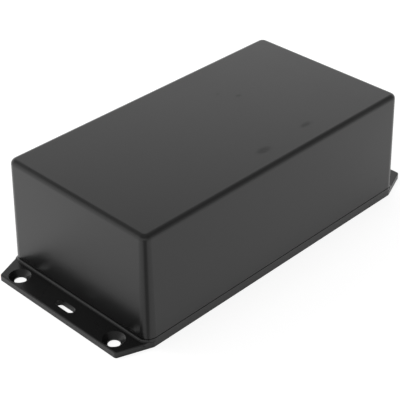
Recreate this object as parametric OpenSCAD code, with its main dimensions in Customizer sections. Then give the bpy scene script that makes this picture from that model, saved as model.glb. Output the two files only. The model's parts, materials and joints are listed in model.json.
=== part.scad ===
// Flanged project box: a drafted tub, closed from below by a lid with a mounting flange at each end.
// X runs along the length and Z points up, away from the surface that the lid stands on.
// The origin is the middle of the lid's underside. All sizes are in millimetres and degrees.

/* [Box] */
// Length over the walls, at the seam
box_l = 150; // [110:1:240]
// Width over the walls, at the seam
box_w = 80; // [60:1:160]
// Height of the closed box, lid and all
box_h = 50; // [35:1:90]
// Thickness of the side walls
wall_t = 2.5; // [1.8:0.1:4]
// Thickness of the closed face
roof_t = 2.5; // [1.8:0.1:4]
// Lean of the walls that lets the moulding leave its tool
draft = 1.5; // [0.5:0.1:3]
// Radius of the upright corners at the closed face, outside
corner_r = 3.2; // [2.7:0.1:8]
// Radius of the edge round the closed face, outside
edge_r = 2.2; // [0.6:0.1:2.6]
// Radius of the upright corners at the closed face, inside
inner_corner_r = 1.4; // [1.1:0.1:4]
// Radius of the edge round the closed face, inside
inner_edge_r = 0.9; // [0.3:0.1:1.1]

/* [Lid] */
// Thickness of the lid's plate and of its flanges
plate_t = 2.7; // [2:0.1:4]
// Height of the raised edge above the plate
ledge_rise = 1.2; // [0.8:0.1:3]
// Height of the shadow gap that shows as the seam
seam_gap = 0.35; // [0.1:0.05:0.8]
// Depth of the shadow gap
seam_depth = 1; // [0.4:0.1:1.6]
// Thickness of the tongue that centres the body
tongue_t = 1.4; // [1:0.1:2]
// Height of the tongue above the body's seat
tongue_h = 1.8; // [1:0.1:4]
// Clearance between the tongue and the body
fit_gap = 0.2; // [0.1:0.05:0.5]

/* [Flanges] */
// How far each flange stands out beyond the box
flange_l = 11.4; // [10.8:0.1:20]
// Distance from the box's end to where the lid's long side turns in
flange_turn = 3.4; // [2.8:0.1:3.6]
// Angle by which the flange's sides close in towards its end
flange_taper = 21; // [12:0.5:28]
// Radius of the flange's corners
flange_corner_r = 1.2; // [0.7:0.1:3]
// Radius of the flange's upper edges
flange_edge_r = 0.5; // [0.2:0.1:0.6]
// Radius where the flange meets the raised edge
flange_root_r = 1; // [0.3:0.1:1.2]
// Diameter of the fixing holes
hole_d = 5; // [3:0.1:6]
// Diameter of their countersinks at the surface
hole_sink_d = 9.1; // [6.2:0.1:9.1]
// Distance from the flange's end to the line of the fixing holes and the slot
hole_edge = 5.1; // [4.7:0.1:5.2]
// Spacing of the fixing holes across the box
hole_spacing_y = 56; // [20:1:57]
// Width of the slot midway between them
slot_w = 3.7; // [2:0.1:5]
// Length of the slot
slot_l = 10; // [6:0.5:20]

/* [Lid screws] */
// Diameter of the screw bosses in the body's corners
boss_d = 8; // [7.2:0.1:9]
// Distance from the walls' outside to the middle of a boss, at the seam
boss_inset = 6; // [5.6:0.1:6.4]
// Diameter of the screws over their thread
screw_d = 3; // [2.4:0.1:3.5]
// Length of the screws under the head
screw_l = 10; // [8:0.5:16]
// Length of the screws' point
screw_point_l = 1.6; // [0.8:0.1:3]
// Diameter of the screw heads
screw_head_d = 5.8; // [5:0.1:6.2]
// Height of the screw heads
screw_head_h = 2; // [1.4:0.1:2.3]
// Length of the cross recess over its arms
recess_l = 3.2; // [2.4:0.1:4]
// Width of the arms of the cross recess
recess_w = 0.8; // [0.5:0.1:1.2]
// Depth of the cross recess
recess_depth = 1.1; // [0.6:0.1:1.3]
// How far the heads lie below the lid's underside
head_sink = 0.3; // [0.1:0.1:0.8]
// Clearance round the screw heads in the lid
head_gap = 0.35; // [0.1:0.05:0.6]
// Clearance round the screws in the lid
shank_gap = 0.2; // [0.1:0.05:0.4]
// Clearance round the screws in the bosses
pilot_gap = 0.05; // [0.05:0.05:0.2]
// Depth of the boss bores beyond the screw's point
pilot_spare = 2; // [1:0.5:6]

/* [Card guides] */
// Width of the groove that takes a board's edge
guide_groove_w = 1.8; // [1.2:0.1:3]
// Thickness of the two ribs beside each groove
guide_rib_t = 1.2; // [0.8:0.1:2]
// Depth of the grooves at the closed face
guide_depth = 1.2; // [0.8:0.1:3]
// Spacing of the guides along each wall
guide_pitch = 12.5; // [8:0.5:30]
// Wall left free of guides at each corner
guide_margin = 14; // [13:0.5:30]
// Slope at the mouth of each rib
guide_lead = 0.8; // [0.2:0.1:1.2]
// Distance from the lid's tongue to the ribs
guide_clear = 2; // [0.5:0.5:8]

/* [Board posts] */
// Diameter of the posts on the closed face
post_d = 6; // [4.5:0.1:8]
// Height of the posts
post_h = 5; // [2:0.5:12]
// Diameter of the bores in the posts
post_bore_d = 2.4; // [1.6:0.1:3]
// Distance from the end walls' outside to the outer posts, at the seam
post_inset_x = 18; // [16:0.5:40]
// Distance from the side walls' outside to the posts, at the seam
post_inset_y = 11.4; // [10:0.1:22]

/* [Hidden] */

$fn = 96;
eps = 0.01;

ledge_z = plate_t + ledge_rise;
seat_z = ledge_z + seam_gap;
body_h = box_h - seat_z;
cavity_h = body_h - roof_t;
roof_z = box_h - roof_t;

rim_r = corner_r + lean(body_h);
cavity_l = box_l - 2 * wall_t;
cavity_w = box_w - 2 * wall_t;
cavity_rim_r = inner_corner_r + lean(cavity_h);

tongue_l = cavity_l - 2 * fit_gap;
tongue_w = cavity_w - 2 * fit_gap;
tongue_r = cavity_rim_r - fit_gap;

boss_x = box_l / 2 - boss_inset;
boss_y = box_w / 2 - boss_inset;
boss_places = [for (sx = [-1, 1], sy = [-1, 1]) [sx * boss_x, sy * boss_y]];
head_seat_z = head_sink + screw_head_h;
screw_tip_z = head_seat_z + screw_l;

rim_centre = [box_l / 2 - rim_r, box_w / 2 - rim_r];
flange_end_x = box_l / 2 + flange_l;
hole_x = flange_end_x - hole_edge;
hole_y = hole_spacing_y / 2;

// Centres of the round corners of the plate: where its long side turns in, and at the flange's end
turn_x = box_l / 2 - flange_turn;
tip_x = flange_end_x - flange_corner_r;
tip_y = box_w / 2 - flange_corner_r - (tip_x - turn_x) * tan(flange_taper);
plate_corners = [[turn_x, box_w / 2 - flange_corner_r], [tip_x, tip_y]];

// The root fillet goes round the corner of the raised edge until the flange's side has all but cut
// it away. Its side is kept a hair inside the flange's own.
root_r = min(flange_root_r, ledge_rise);
root_end = 0.3;
hair = 0.02;
side_normal = [sin(flange_taper), cos(flange_taper)];
side_run = [cos(flange_taper), -sin(flange_taper)];
side_reach = (plate_corners[0] - rim_centre) * side_normal + flange_corner_r - hair;
fillet_sweep = 90 - flange_taper - acos(side_reach / (rim_r + root_end));
fillet_start = rim_centre + side_reach * side_normal;
fillet_end = fillet_start + 2 * (rim_r + root_r) * side_run;

guide_foot_z = seat_z + tongue_h + guide_clear;
post_x = box_l / 2 - post_inset_x;
post_y = box_w / 2 - post_inset_y;

// Inward lean of a wall over a height, to a thousandth of a millimetre so that faces meet exactly
function lean(height) = round(1000 * height * tan(draft)) / 1000;

// Places of a row centred on zero that fits within a length
function row(length, pitch) =
    let (last = floor(length / pitch / 2)) [for (i = [-last : last]) i * pitch];

module quarter_disc(r) {
    intersection() {
        circle(r = r);
        square(r);
    }
}

// Rectangle with round corners, centred
module rounded_rect(length, width, r) {
    x = length / 2 - r;
    y = width / 2 - r;
    square([2 * x, width], center = true);
    for (half = [0, 180]) rotate(half) {
        translate([x, -y]) square([r, 2 * y]);
        translate([x, y]) quarter_disc(r);
        translate([-x, y]) rotate(90) quarter_disc(r);
    }
}

// Section of a leaning wall from its corner centre outwards, with the top edge rounded over
module wall_section(foot_r, height, top_edge_r) {
    round_z = height - top_edge_r;
    round_x = foot_r - lean(round_z) - top_edge_r;
    polygon([
        [0, 0],
        [foot_r, 0],
        [round_x + top_edge_r, round_z],
        [round_x, round_z],
        [round_x, height],
        [0, height]
    ]);
    translate([round_x, round_z]) quarter_disc(top_edge_r);
}

// Block with leaning walls, conical corners and a rounded top edge.
// Length and width are those of its foot, and the corner radius is that of its top.
module moulded_block(length, width, height, top_corner_r, top_edge_r) {
    foot_r = top_corner_r + lean(height);
    cx = length / 2 - foot_r;
    cy = width / 2 - foot_r;
    translate([-cx, -cy, 0]) cube([2 * cx, 2 * cy, height]);
    for (half = [0, 180]) rotate(half) {
        translate([cx, cy, 0])
            rotate_extrude(angle = 90) wall_section(foot_r, height, top_edge_r);
        translate([-cx, cy, 0])
            rotate(90) rotate_extrude(angle = 90) wall_section(foot_r, height, top_edge_r);
        translate([cx, cy, 0])
            rotate([90, 0, 0]) linear_extrude(2 * cy) wall_section(foot_r, height, top_edge_r);
        translate([-cx, cy, 0])
            rotate([90, 0, 90]) linear_extrude(2 * cx) wall_section(foot_r, height, top_edge_r);
    }
}

// One rib of a card guide on the wall at +Y, centred on x = 0, running out into the wall
module guide_rib(wall_y) {
    tip = wall_y - wall_t - lean(cavity_h) - guide_depth;
    translate([-guide_rib_t / 2, 0, 0])
        rotate([90, 0, 90])
            linear_extrude(guide_rib_t)
                polygon([
                    [tip, guide_foot_z + guide_lead],
                    [tip + guide_lead, guide_foot_z],
                    [wall_y, guide_foot_z],
                    [wall_y, box_h],
                    [tip, box_h]
                ]);
}

// Card guides along the wall at +Y and the one that faces it
module guide_row(wall_y, wall_length) {
    places = row(wall_length - 2 * guide_margin - guide_groove_w - 2 * guide_rib_t, guide_pitch);
    for (half = [0, 180], place = places, side = [-1, 1])
        rotate(half)
            translate([place + side * (guide_groove_w + guide_rib_t) / 2, 0, 0]) guide_rib(wall_y);
}

module board_posts() {
    for (px = [-post_x, 0, post_x], sy = [-1, 1])
        translate([px, sy * post_y, roof_z - post_h])
            difference() {
                cylinder(d = post_d, h = post_h + roof_t / 2);
                translate([0, 0, -eps]) cylinder(d = post_bore_d, h = post_h + eps);
            }
}

module screw_bosses() {
    for (place = boss_places)
        translate([place.x, place.y, seat_z]) cylinder(d = boss_d, h = body_h - roof_t / 2);
}

module pilot_bores() {
    for (place = boss_places)
        translate([place.x, place.y, seat_z - eps])
            cylinder(d = screw_d + 2 * pilot_gap, h = screw_tip_z + pilot_spare - seat_z + eps);
}

// The tub: what stands inside it is left standing when the cavity is cut
module enclosure_body() {
    color([0.12, 0.12, 0.12])
        difference() {
            translate([0, 0, seat_z]) moulded_block(box_l, box_w, body_h, corner_r, edge_r);
            difference() {
                translate([0, 0, seat_z - eps])
                    moulded_block(cavity_l, cavity_w, cavity_h + eps, inner_corner_r, inner_edge_r);
                screw_bosses();
                guide_row(box_w / 2, box_l);
                rotate(90) guide_row(box_l / 2, box_w);
                board_posts();
            }
            pilot_bores();
        }
}

// Disc as thick as the plate, with its upper edge rounded over
module plate_disc() {
    cylinder(r = flange_corner_r, h = plate_t - flange_edge_r);
    translate([0, 0, plate_t - flange_edge_r])
        rotate_extrude()
            translate([flange_corner_r - flange_edge_r, 0]) circle(r = flange_edge_r, $fn = 16);
}

// The plate with both flanges
module flange_plate() {
    hull()
        for (centre = plate_corners, sx = [-1, 1], sy = [-1, 1])
            translate([sx * centre.x, sy * centre.y, 0]) plate_disc($fn = 32);
}

// Hollow round between a flange and the raised edge, which runs out at the flange's sides
module root_fillet() {
    module cove() {
        difference() {
            translate([0, -flange_edge_r]) square([root_r, root_r + flange_edge_r]);
            translate([root_r, root_r]) circle(r = root_r);
        }
    }
    translate([box_l / 2, rim_centre.y, plate_t])
        rotate([90, 0, 0]) linear_extrude(2 * rim_centre.y) cove();
    for (flip = [0, 1]) mirror([0, flip, 0])
        intersection() {
            translate([rim_centre.x, rim_centre.y, plate_t])
                rotate_extrude(angle = fillet_sweep) translate([rim_r, 0]) cove();
            linear_extrude(ledge_z) polygon([rim_centre, fillet_start, fillet_end]);
        }
}

// Fixing holes, countersunk from above, and the slot between them
module flange_openings() {
    sink_h = (hole_sink_d - hole_d) / 2;
    for (sy = [-1, 1]) translate([hole_x, sy * hole_y, 0]) {
        translate([0, 0, -eps]) cylinder(d = hole_d, h = plate_t + 2 * eps);
        translate([0, 0, plate_t - sink_h])
            cylinder(d1 = hole_d, d2 = hole_sink_d + 2 * eps, h = sink_h + eps);
    }
    translate([hole_x, 0, -eps]) {
        straight = slot_l - slot_w;
        translate([-slot_w / 2, -straight / 2, 0]) cube([slot_w, straight, plate_t + 2 * eps]);
        for (sy = [-1, 1])
            translate([0, sy * straight / 2, 0]) cylinder(d = slot_w, h = plate_t + 2 * eps);
    }
}

// Room inside the raised edge, with a pad left standing under each boss
module lid_pocket() {
    difference() {
        translate([0, 0, plate_t])
            linear_extrude(box_h)
                rounded_rect(tongue_l - 2 * tongue_t, tongue_w - 2 * tongue_t, tongue_r - tongue_t);
        for (place = boss_places)
            translate([place.x, place.y, 0]) cylinder(d = boss_d, h = seat_z);
    }
}

module lid_screw_holes() {
    for (place = boss_places) translate([place.x, place.y, -eps]) {
        cylinder(d = screw_head_d + 2 * head_gap, h = head_seat_z + eps);
        cylinder(d = screw_d + 2 * shank_gap, h = seat_z + 2 * eps);
    }
}

// Plate and flanges, with the raised edge, the body's seat and the tongue on them
module lid_blank() {
    flange_plate();
    for (end = [0, 1]) mirror([end, 0, 0]) root_fillet();
    linear_extrude(ledge_z) rounded_rect(box_l, box_w, rim_r);
    linear_extrude(seat_z)
        rounded_rect(box_l - 2 * seam_depth, box_w - 2 * seam_depth, rim_r - seam_depth);
    linear_extrude(seat_z + tongue_h) rounded_rect(tongue_l, tongue_w, tongue_r);
}

module flanged_lid() {
    color([0.12, 0.12, 0.12])
        difference() {
            lid_blank();
            lid_pocket();
            for (place = boss_places)
                translate([place.x, place.y, seat_z]) cylinder(d = boss_d + 2 * fit_gap, h = box_h);
            lid_screw_holes();
            for (end = [0, 1]) mirror([end, 0, 0]) flange_openings();
        }
}

// Pan-headed self-tapping screw, head down, with its seat at z = 0
module lid_screw() {
    dome_r = (pow(screw_head_d / 2, 2) + pow(screw_head_h, 2)) / screw_head_h;
    difference() {
        union() {
            intersection() {
                translate([0, 0, -screw_head_h]) cylinder(d = screw_head_d, h = screw_head_h);
                translate([0, 0, dome_r - screw_head_h]) sphere(r = dome_r);
            }
            cylinder(d = screw_d, h = screw_l - screw_point_l);
            translate([0, 0, screw_l - screw_point_l])
                cylinder(d1 = screw_d, d2 = screw_d / 6, h = screw_point_l);
        }
        for (turn = [0, 90]) rotate(turn)
            translate([-recess_l / 2, -recess_w / 2, -screw_head_h - eps])
                cube([recess_l, recess_w, recess_depth + eps]);
    }
}

module lid_screws() {
    color([0.72, 0.72, 0.74])
        for (place = boss_places) translate([place.x, place.y, head_seat_z]) lid_screw();
}

enclosure_body();
flanged_lid();
lid_screws();
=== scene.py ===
"""Finishes and studio for a flanged project box.

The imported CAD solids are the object: a drafted tub, a flanged lid and four lid
screws. Each of them gets its procedural finish here, and a pale floor, soft
lamps and a camera stand round the box. Lengths are in metres.
"""

import json
import math

import bpy
from bpy.props import FloatProperty, FloatVectorProperty, PointerProperty
from bpy.types import Operator, Panel, PropertyGroup
from mathutils import Matrix, Vector


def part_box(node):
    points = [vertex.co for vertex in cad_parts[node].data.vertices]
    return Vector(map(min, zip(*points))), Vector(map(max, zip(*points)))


bl_info = {
    "name": "Project box finishes",
    "version": (1, 0, 0),
    "blender": (4, 5, 0),
    "location": "View3D > Sidebar > Project Box",
    "description": "Moulded ABS and zinc finishes and a studio for a flanged box",
    "category": "Material",
}

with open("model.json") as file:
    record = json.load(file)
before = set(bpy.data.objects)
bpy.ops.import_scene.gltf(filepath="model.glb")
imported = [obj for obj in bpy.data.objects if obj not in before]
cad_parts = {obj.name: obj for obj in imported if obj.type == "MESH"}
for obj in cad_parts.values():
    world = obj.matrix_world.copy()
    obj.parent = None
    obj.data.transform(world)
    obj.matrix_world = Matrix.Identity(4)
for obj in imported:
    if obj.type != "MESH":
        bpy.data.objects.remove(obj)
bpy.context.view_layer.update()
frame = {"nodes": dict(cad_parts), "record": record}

SLOT_COLOURS = {m["slot"]: m["base_color"] for m in frame["record"]["materials"]}
TUB_LOW, TUB_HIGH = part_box("enclosure_body")
MM = 0.001

# How far the plastic's roughness and colour stray over a wall, and what edges and rubbing change
ROUGHNESS_SPREAD = 0.03
COLOUR_SPREAD = 0.15
EDGE_WIDTH = 3 * MM
EDGE_POLISH = 0.04
RUB_ROUGHENING = 0.12
RUB_SOFTNESS = 0.7

# Centre and half sizes of each rub mark, in millimetres
RUB_MARKS = (
    ((0.1, -28.6, 50.0), (5.2, 2.6, 3.0)),
    ((25.4, 8.6, 50.0), (2.0, 1.4, 3.0)),
    ((20.3, 15.8, 50.0), (1.3, 1.0, 3.0)),
    ((26.7, -27.5, 50.0), (4.0, 2.0, 3.0)),
    ((61.4, -39.5, 12.7), (0.7, 2.0, 1.1)),
)

SCREW_HEAD_R = 2.9 * MM
RING_HEIGHT = 0.01 * MM

FLOOR_HALF = 6.0
FLOOR_UNDER = 0.02 * MM
FLOOR_WHITE = 1.3
# Distances from the origin over which the floor turns to plain white
FLOOR_NEAR, FLOOR_FAR = 0.25, 0.9
# The way from the box's front corner across the painted shadow on the floor before it, which only
# the gloss sees, and how much that painted shadow dims
PAINTED_SHADOW_WAY = (-0.7, -0.714, 0.0)
PAINTED_SHADOW_DIMMING = 0.95
# Cosines of the angles to that way between which the painted shadow sets in
PAINTED_SHADOW_SPREAD = (0.8, 0.97)
# Distances from the middle planes over which the box's shade ends, beyond an end and beside a side
END_SHADE = (0.085, 0.14)
SIDE_SHADE = (0.03, 0.05)

# Heights of the room's light, as sines, over which its walls turn into the dimmer ceiling
CEILING_RISE = (0.36, 0.72)
# The way towards the dimmer front wall, and the cosines between which it sets in
FRONT_WAY = (0.55, -0.83, 0.0)
FRONT_SPREAD = (0.1, 0.8)

SOFTBOX_SIZE = 0.8
KEY_AT = (-0.35, 0.95, 0.75)
TOP_AT = (0.0, 0.0, 1.2)


class PlasticFinish(PropertyGroup):
    """Colour, sheen and grain of the black ABS mouldings."""

    colour: FloatVectorProperty(
        name="Colour",
        description="Colour of the pigmented plastic itself, without its sheen",
        subtype="COLOR",
        size=3,
        min=0.0,
        max=1.0,
        default=(0.006, 0.006, 0.006),
    )
    roughness: FloatProperty(
        name="Roughness",
        description="Roughness of the satin skin",
        subtype="FACTOR",
        min=0.0,
        max=1.0,
        default=0.32,
    )
    sheen_weight: FloatProperty(
        name="Skin gloss",
        description="How strongly the moulded skin reflects where nothing has rubbed it",
        subtype="FACTOR",
        min=0.0,
        max=1.0,
        default=0.6,
    )
    grain_size: FloatProperty(
        name="Grain size",
        description="Width of one grain of the eroded mould texture",
        unit="LENGTH",
        min=0.1 * MM,
        max=3 * MM,
        precision=5,
        default=0.45 * MM,
    )
    grain_depth: FloatProperty(
        name="Grain depth",
        description="Height of the grain over its valleys",
        unit="LENGTH",
        min=0.0,
        max=0.2 * MM,
        precision=6,
        default=0.012 * MM,
    )
    smudge: FloatProperty(
        name="Rub marks",
        description="Strength of the dull marks that handling left on the tub",
        subtype="FACTOR",
        min=0.0,
        max=1.0,
        default=0.42,
    )


class SteelFinish(PropertyGroup):
    """Colour and turning marks of the zinc plated lid screws."""

    colour: FloatVectorProperty(
        name="Colour",
        description="Colour of the bright zinc plating",
        subtype="COLOR",
        size=3,
        min=0.0,
        max=1.0,
        default=SLOT_COLOURS["screw_steel"],
    )
    roughness: FloatProperty(
        name="Roughness",
        description="Roughness of the plated heads",
        subtype="FACTOR",
        min=0.0,
        max=1.0,
        default=0.3,
    )
    ring_pitch: FloatProperty(
        name="Turning pitch",
        description="Distance between the turning marks on a head",
        unit="LENGTH",
        min=0.05 * MM,
        max=1 * MM,
        precision=5,
        default=0.16 * MM,
    )


class StudioSetup(PropertyGroup):
    """Floor, lamps and camera."""

    floor_colour: FloatVectorProperty(
        name="Floor",
        description="Colour of the pale floor",
        subtype="COLOR",
        size=3,
        min=0.0,
        max=1.0,
        default=(0.86, 0.86, 0.86),
    )
    floor_whitening: FloatProperty(
        name="Floor whitening",
        description="Share of plain white in the floor near the box, as the camera sees it",
        subtype="FACTOR",
        min=0.0,
        max=1.0,
        default=0.6,
    )
    floor_gloss_whitening: FloatProperty(
        name="Floor whitening in gloss",
        description="Share of plain white in the floor near the box, as the gloss sees it",
        subtype="FACTOR",
        min=0.0,
        max=1.0,
        default=0.28,
    )
    room_strength: FloatProperty(
        name="Room light",
        description="Strength of the even light from all round",
        min=0.0,
        max=2.0,
        default=0.65,
    )
    ceiling: FloatProperty(
        name="Ceiling",
        description="How bright the gloss sees the ceiling, where the walls are 1",
        subtype="FACTOR",
        min=0.0,
        max=1.0,
        default=0.36,
    )
    front_wall: FloatProperty(
        name="Front wall",
        description="How bright the gloss sees the wall beside the camera, where the others are 1",
        subtype="FACTOR",
        min=0.0,
        max=1.0,
        default=0.55,
    )
    key_power: FloatProperty(
        name="Key lamp",
        description="Power of the large softbox behind the box, to the left",
        unit="POWER",
        min=0.0,
        max=100.0,
        default=6.0,
    )
    fill_power: FloatProperty(
        name="Fill lamp",
        description="Power of the softbox over the box",
        unit="POWER",
        min=0.0,
        max=100.0,
        default=2.0,
    )
    camera_at: FloatVectorProperty(
        name="Camera",
        description="Where the camera stands",
        subtype="TRANSLATION",
        unit="LENGTH",
        size=3,
        precision=5,
        default=(-0.31176, -0.30231, 0.30322),
    )
    camera_azimuth: FloatProperty(
        name="Azimuth",
        description="Bearing of the view, where 0 looks along +Y",
        unit="ROTATION",
        default=math.radians(-45.609),
    )
    camera_elevation: FloatProperty(
        name="Elevation",
        description="How far the camera looks down",
        unit="ROTATION",
        default=math.radians(33.434),
    )
    camera_roll: FloatProperty(
        name="Roll",
        description="Turn of the camera about its own view",
        unit="ROTATION",
        default=math.radians(-0.176),
    )
    lens: FloatProperty(
        name="Lens",
        description="Focal length for a sensor 36 mm wide",
        min=10.0,
        max=300.0,
        default=111.3,
    )
    shift: FloatVectorProperty(
        name="Shift",
        description="Sideways and upward shift of the lens, in sensor widths",
        size=2,
        precision=4,
        default=(-0.0156, -0.0162),
    )


# ---------------------------------------------------------------- node helpers


class Wiring:
    """Adds nodes to one node tree and links them, left to right."""

    def __init__(self, tree):
        self.tree = tree
        self.column = 0

    def node(self, kind, settings=None, **inputs):
        """A node with its settings, and its inputs set to values or linked to sockets."""
        made = self.tree.nodes.new(kind)
        made.location = (self.column, 0)
        self.column += 180
        for name, value in (settings or {}).items():
            setattr(made, name, value)
        for name, value in inputs.items():
            self.feed(made.inputs[name.replace("_", " ")], value)
        return made

    def feed(self, socket, value):
        """Links a socket to another, or sets it to a plain value."""
        if isinstance(value, bpy.types.NodeSocket):
            self.tree.links.new(value, socket)
        else:
            socket.default_value = value

    def math(self, operation, *values, clamp=False):
        """One Math node and its result."""
        made = self.node("ShaderNodeMath", {"operation": operation, "use_clamp": clamp})
        for socket, value in zip(made.inputs, values):
            self.feed(socket, value)
        return made.outputs[0]

    def vector(self, operation, *values):
        """One Vector Math node and its result."""
        made = self.node("ShaderNodeVectorMath", {"operation": operation})
        for socket, value in zip(made.inputs, values):
            self.feed(socket, value)
        scalar = operation in {"LENGTH", "DISTANCE", "DOT_PRODUCT"}
        return made.outputs["Value" if scalar else "Vector"]

    def ramp(self, value, low, high, to_low=0.0, to_high=1.0):
        """A smooth step from to_low to to_high as value goes from low to high."""
        made = self.node(
            "ShaderNodeMapRange",
            {"interpolation_type": "SMOOTHSTEP"},
            Value=value,
            From_Min=low,
            From_Max=high,
            To_Min=to_low,
            To_Max=to_high,
        )
        return made.outputs["Result"]


def new_group(name, inputs, outputs):
    """An empty shader node group with named sockets, its wiring and its two ends."""
    tree = bpy.data.node_groups.new(name, "ShaderNodeTree")
    for socket, kind, default in inputs:
        made = tree.interface.new_socket(socket, in_out="INPUT", socket_type=kind)
        if default is not None:
            made.default_value = default
    for socket, kind in outputs:
        tree.interface.new_socket(socket, in_out="OUTPUT", socket_type=kind)
    wiring = Wiring(tree)
    entry = wiring.node("NodeGroupInput")
    return tree, wiring, entry


def close_group(wiring, **outputs):
    """Links a group's results to its output sockets."""
    wiring.node("NodeGroupOutput", **outputs)


def place_group(wiring, tree, **inputs):
    """Puts a node group into a material, with values of its own."""
    return wiring.node("ShaderNodeGroup", {"node_tree": tree}, **inputs)


# ------------------------------------------------------------- shared effects


def mould_grain_group():
    """Fine eroded mould texture, with the broad cloudiness of a moulded wall."""
    name = "Mould grain"
    if name in bpy.data.node_groups:
        return bpy.data.node_groups[name]
    tree, w, entry = new_group(
        name,
        [
            ("Position", "NodeSocketVector", None),
            ("Grain Size", "NodeSocketFloat", 0.0004),
            ("Cloud Size", "NodeSocketFloat", 0.03),
        ],
        [
            ("Height", "NodeSocketFloat"),
            ("Cloud", "NodeSocketFloat"),
        ],
    )
    position = entry.outputs["Position"]
    fine_scale = w.math("DIVIDE", 1.0, entry.outputs["Grain Size"])
    fine = w.node("ShaderNodeTexNoise", Vector=position, Scale=fine_scale, Detail=2.0)
    pits = w.node(
        "ShaderNodeTexVoronoi",
        {"feature": "SMOOTH_F1"},
        Vector=position,
        Scale=w.math("MULTIPLY", fine_scale, 0.8),
    )
    height = w.math(
        "MULTIPLY_ADD", pits.outputs["Distance"], 0.45, fine.outputs["Fac"]
    )
    cloud_scale = w.math("DIVIDE", 1.0, entry.outputs["Cloud Size"])
    cloud = w.node("ShaderNodeTexNoise", Vector=position, Scale=cloud_scale, Detail=3.0)
    close_group(w, Height=height, Cloud=cloud.outputs["Fac"])
    return tree


def rub_mark_group():
    """A soft dull spot round a point, with a ragged outline."""
    name = "Rub mark"
    if name in bpy.data.node_groups:
        return bpy.data.node_groups[name]
    tree, w, entry = new_group(
        name,
        [
            ("Position", "NodeSocketVector", None),
            ("Centre", "NodeSocketVector", None),
            ("Half Size", "NodeSocketVector", (0.004, 0.004, 0.004)),
            ("Softness", "NodeSocketFloat", 0.5),
        ],
        [("Mask", "NodeSocketFloat")],
    )
    ragged = w.node("ShaderNodeTexNoise", Vector=entry.outputs["Position"], Scale=700.0)
    offset = w.vector("SUBTRACT", entry.outputs["Position"], entry.outputs["Centre"])
    scaled = w.vector("DIVIDE", offset, entry.outputs["Half Size"])
    reach = w.math(
        "MULTIPLY_ADD", ragged.outputs["Fac"], 0.5, w.vector("LENGTH", scaled)
    )
    inner = w.math("SUBTRACT", 1.25, entry.outputs["Softness"])
    close_group(w, Mask=w.ramp(reach, inner, 1.25, 1.0, 0.0))
    return tree


def edge_band_group():
    """A mask along the outer edges of a box about the Z axis, from its half sizes."""
    name = "Edge band"
    if name in bpy.data.node_groups:
        return bpy.data.node_groups[name]
    tree, w, entry = new_group(
        name,
        [
            ("Position", "NodeSocketVector", None),
            ("Centre", "NodeSocketVector", None),
            ("Half Size", "NodeSocketVector", (0.05, 0.05, 0.05)),
            ("Width", "NodeSocketFloat", 0.002),
        ],
        [("Mask", "NodeSocketFloat")],
    )
    offset = w.vector("SUBTRACT", entry.outputs["Position"], entry.outputs["Centre"])
    inside = w.vector("SUBTRACT", entry.outputs["Half Size"], w.vector("ABSOLUTE", offset))
    parts = w.node("ShaderNodeSeparateXYZ", Vector=inside)
    x, y, z = parts.outputs
    low = w.math("MINIMUM", w.math("MINIMUM", x, y), z)
    high = w.math("MAXIMUM", w.math("MAXIMUM", x, y), z)
    total = w.math("ADD", w.math("ADD", x, y), z)
    second = w.math("SUBTRACT", w.math("SUBTRACT", total, low), high)
    close_group(w, Mask=w.ramp(second, 0.0, entry.outputs["Width"], 1.0, 0.0))
    return tree


# ------------------------------------------------------------------- finishes


def new_material(name):
    """An empty material with its output, and the wiring to fill it."""
    material = bpy.data.materials.new(name)
    material.use_nodes = True
    material.node_tree.nodes.clear()
    return material, Wiring(material.node_tree)


def finish_material(w, shader):
    """Links a shader to the material's output."""
    w.node("ShaderNodeOutputMaterial", Surface=shader)


def metres(values):
    """A point given in millimetres."""
    return tuple(v * MM for v in values)


def moulded_abs(name, look, marks):
    """Black ABS: satin skin over a deep colour, with grain, cloudiness and rub marks."""
    material, w = new_material(name)
    position = w.node("ShaderNodeTexCoord").outputs["Object"]
    grain = place_group(
        w, mould_grain_group(), Position=position, Grain_Size=look.grain_size
    )
    cloud = grain.outputs["Cloud"]
    dull = 0.0
    for centre, half_size in marks:
        mark = place_group(
            w,
            rub_mark_group(),
            Position=position,
            Centre=metres(centre),
            Half_Size=metres(half_size),
            Softness=RUB_SOFTNESS,
        )
        dull = w.math("MAXIMUM", dull, mark.outputs["Mask"])
    edge = place_group(
        w,
        edge_band_group(),
        Position=position,
        Centre=(TUB_LOW + TUB_HIGH) / 2,
        Half_Size=(TUB_HIGH - TUB_LOW) / 2,
        Width=EDGE_WIDTH,
    )
    smooth, rough = look.roughness - ROUGHNESS_SPREAD, look.roughness + ROUGHNESS_SPREAD
    roughness = w.ramp(cloud, 0.3, 0.7, smooth, rough)
    roughness = w.math("MULTIPLY_ADD", edge.outputs["Mask"], -EDGE_POLISH, roughness)
    if marks:
        roughness = w.math("MULTIPLY_ADD", dull, RUB_ROUGHENING, roughness)
        kept = w.math("MULTIPLY_ADD", dull, -look.smudge, 1.0)
        gloss = w.math("MULTIPLY", kept, look.sheen_weight)
    else:
        gloss = look.sheen_weight
    colour = w.node(
        "ShaderNodeMix",
        {"data_type": "RGBA"},
        Factor=w.ramp(cloud, 0.25, 0.75),
    )
    deep = [c * (1 - COLOUR_SPREAD) for c in look.colour]
    worn = [c * (1 + COLOUR_SPREAD) for c in look.colour]
    w.feed(colour.inputs["A"], (*deep, 1.0))
    w.feed(colour.inputs["B"], (*worn, 1.0))
    bump = w.node(
        "ShaderNodeBump",
        Strength=1.0,
        Distance=look.grain_depth,
        Height=grain.outputs["Height"],
    )
    shader = w.node(
        "ShaderNodeBsdfPrincipled",
        Base_Color=colour.outputs["Result"],
        Roughness=roughness,
        Normal=bump.outputs["Normal"],
        Specular_IOR_Level=0.25,
        Coat_Weight=gloss,
        Coat_Roughness=0.27,
        Coat_IOR=1.46,
        Coat_Normal=bump.outputs["Normal"],
    )
    finish_material(w, shader.outputs["BSDF"])
    return material


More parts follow.
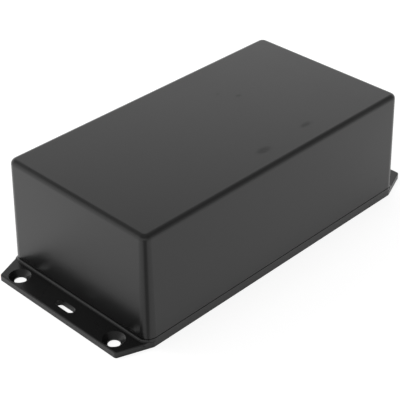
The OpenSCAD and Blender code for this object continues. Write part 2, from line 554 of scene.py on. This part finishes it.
def zinc_plate(name, look, screw_at):
    """Bright zinc plate, with the rings of turning round each screw's axis."""
    material, w = new_material(name)
    position = w.node("ShaderNodeTexCoord").outputs["Object"]
    folded = w.vector("SUBTRACT", w.vector("ABSOLUTE", position), screw_at)
    flat = w.vector("MULTIPLY", folded, (1.0, 1.0, 0.0))
    radius = w.vector("LENGTH", flat)
    turns = w.math("DIVIDE", radius, look.ring_pitch)
    rings = w.math("SINE", w.math("MULTIPLY", turns, 2 * math.pi))
    spangle = w.node("ShaderNodeTexNoise", Vector=position, Scale=900.0, Detail=3.0)
    roughness = w.ramp(
        spangle.outputs["Fac"], 0.3, 0.7, look.roughness - 0.08, look.roughness + 0.1
    )
    tint = w.node(
        "ShaderNodeMix",
        {"data_type": "RGBA"},
        Factor=w.ramp(spangle.outputs["Fac"], 0.35, 0.65),
    )
    w.feed(tint.inputs["A"], (*[c * 0.9 for c in look.colour], 1.0))
    w.feed(tint.inputs["B"], (*look.colour, 1.0))
    bump = w.node(
        "ShaderNodeBump",
        Strength=0.4,
        Distance=RING_HEIGHT,
        Height=w.math("MULTIPLY_ADD", rings, 0.5, spangle.outputs["Fac"]),
    )
    shader = w.node(
        "ShaderNodeBsdfPrincipled",
        Base_Color=tint.outputs["Result"],
        Metallic=1.0,
        Roughness=roughness,
        Normal=bump.outputs["Normal"],
    )
    finish_material(w, shader.outputs["BSDF"])
    return material


def dress(node, material):
    """Gives a CAD node its finish."""
    for slot in frame["nodes"][node].material_slots:
        slot.material = material


class PROJECTBOX_OT_tub(Operator):
    """Finish the enclosure body in satin black ABS, with its rub marks"""

    bl_idname = "project_box.tub"
    bl_label = "Finish the tub"

    def execute(self, context):
        look = context.scene.box_plastic
        dress("enclosure_body", moulded_abs("Black ABS tub", look, RUB_MARKS))
        return {"FINISHED"}


class PROJECTBOX_OT_lid(Operator):
    """Finish the flanged lid in the same satin black ABS"""

    bl_idname = "project_box.lid"
    bl_label = "Finish the lid"

    def execute(self, context):
        look = context.scene.box_plastic
        dress("flanged_lid", moulded_abs("Black ABS lid", look, ()))
        return {"FINISHED"}


class PROJECTBOX_OT_screws(Operator):
    """Finish the four lid screws in bright zinc"""

    bl_idname = "project_box.screws"
    bl_label = "Finish the lid screws"

    def execute(self, context):
        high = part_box("lid_screws")[1]
        screw_at = (high.x - SCREW_HEAD_R, high.y - SCREW_HEAD_R, 0.0)
        dress("lid_screws", zinc_plate("Zinc plate", context.scene.box_steel, screw_at))
        return {"FINISHED"}


# --------------------------------------------------------------------- studio


def seen_rays(w):
    """1 for the camera's rays, and 1 for those that show the room in gloss or through glass."""
    path = w.node("ShaderNodeLightPath")
    gloss, glass = path.outputs["Is Glossy Ray"], path.outputs["Is Transmission Ray"]
    return path.outputs["Is Camera Ray"], w.math("MAXIMUM", gloss, glass)


def floor_material(look):
    """Pale matt floor: near white, with the shadow kept, and a painted shadow before the box that
    only the gloss sees.
    """
    material, w = new_material("Pale floor")
    matt = w.node("ShaderNodeBsdfDiffuse", Color=(*look.floor_colour, 1.0))
    position = w.node("ShaderNodeNewGeometry").outputs["Position"]
    reach = w.vector("LENGTH", position)
    camera, gloss = seen_rays(w)
    by_camera = w.ramp(reach, FLOOR_NEAR, FLOOR_FAR, look.floor_whitening, 1.0)
    by_gloss = w.ramp(reach, FLOOR_NEAR, FLOOR_FAR, look.floor_gloss_whitening, 1.0)
    # The box's own shade keeps the floor off white close to its ends
    sides = w.node("ShaderNodeSeparateXYZ", Vector=w.vector("ABSOLUTE", position))
    beyond_end = w.ramp(sides.outputs["X"], *END_SHADE)
    beyond_side = w.ramp(sides.outputs["Y"], *SIDE_SHADE)
    by_gloss = w.math("MULTIPLY", by_gloss, w.math("MAXIMUM", beyond_end, beyond_side))
    # Painted shadow: for gloss rays the floor before the box's front corner is dimmed, standing in
    # for the box's shadow falling there
    from_corner = w.vector("SUBTRACT", position, (TUB_LOW.x, TUB_LOW.y, 0.0))
    toward = w.vector("DOT_PRODUCT", w.vector("NORMALIZE", from_corner), PAINTED_SHADOW_WAY)
    painted_shadow = w.math("MULTIPLY", gloss, w.ramp(toward, *PAINTED_SHADOW_SPREAD))
    by_gloss = w.math("MAXIMUM", by_gloss, painted_shadow)
    strength = w.math("MULTIPLY_ADD", painted_shadow, -PAINTED_SHADOW_DIMMING, FLOOR_WHITE)
    white = w.node("ShaderNodeEmission", Color=(1.0, 1.0, 1.0, 1.0), Strength=strength)
    share = w.math("MULTIPLY_ADD", camera, by_camera, w.math("MULTIPLY", gloss, by_gloss))
    mixed = w.node("ShaderNodeMixShader", Fac=share)
    w.feed(mixed.inputs[1], matt.outputs["BSDF"])
    w.feed(mixed.inputs[2], white.outputs["Emission"])
    finish_material(w, mixed.outputs["Shader"])
    return material


def add_floor(look):
    """A large floor just under the box."""
    mesh = bpy.data.meshes.new("studio_floor")
    half = FLOOR_HALF
    corners = [(-half, -half), (half, -half), (half, half), (-half, half)]
    mesh.from_pydata([(x, y, -FLOOR_UNDER) for x, y in corners], [], [(0, 1, 2, 3)])
    floor = bpy.data.objects.new("studio_floor", mesh)
    bpy.context.scene.collection.objects.link(floor)
    mesh.materials.append(floor_material(look))


def add_room_light(look):
    """Even light from all round: white to the camera, and pale walls and ceiling to the gloss."""
    world = bpy.data.worlds.new("Soft room")
    world.use_nodes = True
    world.node_tree.nodes.clear()
    w = Wiring(world.node_tree)
    camera, gloss = seen_rays(w)
    toward = w.vector("NORMALIZE", w.node("ShaderNodeTexCoord").outputs["Generated"])
    height = w.node("ShaderNodeSeparateXYZ", Vector=toward).outputs["Z"]
    ceiling = w.ramp(height, *CEILING_RISE, 1.0, look.ceiling)
    front = w.ramp(
        w.vector("DOT_PRODUCT", toward, FRONT_WAY), *FRONT_SPREAD, 1.0, look.front_wall
    )
    walls = w.math("MULTIPLY", ceiling, front)
    in_gloss = w.node("ShaderNodeMix", Factor=gloss)
    w.feed(in_gloss.inputs["A"], look.room_strength)
    w.feed(in_gloss.inputs["B"], walls)
    strength = w.math("MAXIMUM", camera, in_gloss.outputs["Result"])
    background = w.node(
        "ShaderNodeBackground", Color=(1.0, 1.0, 1.0, 1.0), Strength=strength
    )
    w.node("ShaderNodeOutputWorld", Surface=background.outputs["Background"])
    bpy.context.scene.world = world


def add_softbox(name, power, place, target):
    """A square soft lamp that faces a point."""
    light = bpy.data.lights.new(name, "AREA")
    light.energy = power
    light.shape = "SQUARE"
    light.size = SOFTBOX_SIZE
    lamp = bpy.data.objects.new(name, light)
    lamp.location = place
    aim = Vector(target) - Vector(place)
    lamp.rotation_euler = aim.to_track_quat("-Z", "Y").to_euler()
    lamp.visible_glossy = False
    bpy.context.scene.collection.objects.link(lamp)


def add_camera(look):
    """The camera, from its bearing, height and roll."""
    a, e, roll = look.camera_azimuth, look.camera_elevation, look.camera_roll
    right = Vector((math.cos(a), math.sin(a), 0.0))
    back = Vector((math.sin(a) * math.cos(e), -math.cos(a) * math.cos(e), math.sin(e)))
    turn = Matrix((right, back.cross(right), back)).transposed()
    turn = turn @ Matrix.Rotation(roll, 3, "Z")
    data = bpy.data.cameras.new("studio_camera")
    data.sensor_width = 36.0
    data.lens = look.lens
    data.shift_x, data.shift_y = look.shift
    data.clip_start, data.clip_end = 0.01, 50.0
    camera = bpy.data.objects.new("studio_camera", data)
    camera.matrix_world = Matrix.Translation(look.camera_at) @ turn.to_4x4()
    bpy.context.scene.collection.objects.link(camera)
    bpy.context.scene.camera = camera


class PROJECTBOX_OT_studio(Operator):
    """Set the pale floor, the soft lamps and the camera round the box"""

    bl_idname = "project_box.studio"
    bl_label = "Set up the studio"

    def execute(self, context):
        look = context.scene.box_studio
        context.scene.view_settings.view_transform = "Standard"
        middle = (TUB_LOW + TUB_HIGH) / 2
        add_floor(look)
        add_room_light(look)
        add_softbox("key_softbox", look.key_power, KEY_AT, middle)
        add_softbox("top_softbox", look.fill_power, TOP_AT, middle)
        add_camera(look)
        return {"FINISHED"}


# ------------------------------------------------------------------ interface


class VIEW3D_PT_project_box(Panel):
    """Lists the finishes, the studio and their settings."""

    bl_label = "Project box"
    bl_space_type = "VIEW_3D"
    bl_region_type = "UI"
    bl_category = "Project Box"

    def draw(self, context):
        layout = self.layout
        for settings in (
            context.scene.box_plastic,
            context.scene.box_steel,
            context.scene.box_studio,
        ):
            box = layout.box()
            for name in settings.__annotations__:
                box.prop(settings, name)
        for step in STEPS:
            layout.operator(step.bl_idname)


STEPS = (
    PROJECTBOX_OT_studio,
    PROJECTBOX_OT_tub,
    PROJECTBOX_OT_lid,
    PROJECTBOX_OT_screws,
)
SETTINGS = {
    "box_plastic": PlasticFinish,
    "box_steel": SteelFinish,
    "box_studio": StudioSetup,
}
CLASSES = (*SETTINGS.values(), *STEPS, VIEW3D_PT_project_box)


def register():
    for cls in CLASSES:
        bpy.utils.register_class(cls)
    for name, settings in SETTINGS.items():
        setattr(bpy.types.Scene, name, PointerProperty(type=settings))


def unregister():
    for name in SETTINGS:
        delattr(bpy.types.Scene, name)
    for cls in reversed(CLASSES):
        bpy.utils.unregister_class(cls)


def main():
    """Runs every step in order."""
    register()
    bpy.ops.project_box.studio()
    bpy.ops.project_box.tub()
    bpy.ops.project_box.lid()
    bpy.ops.project_box.screws()


if __name__ == "__main__":
    main()
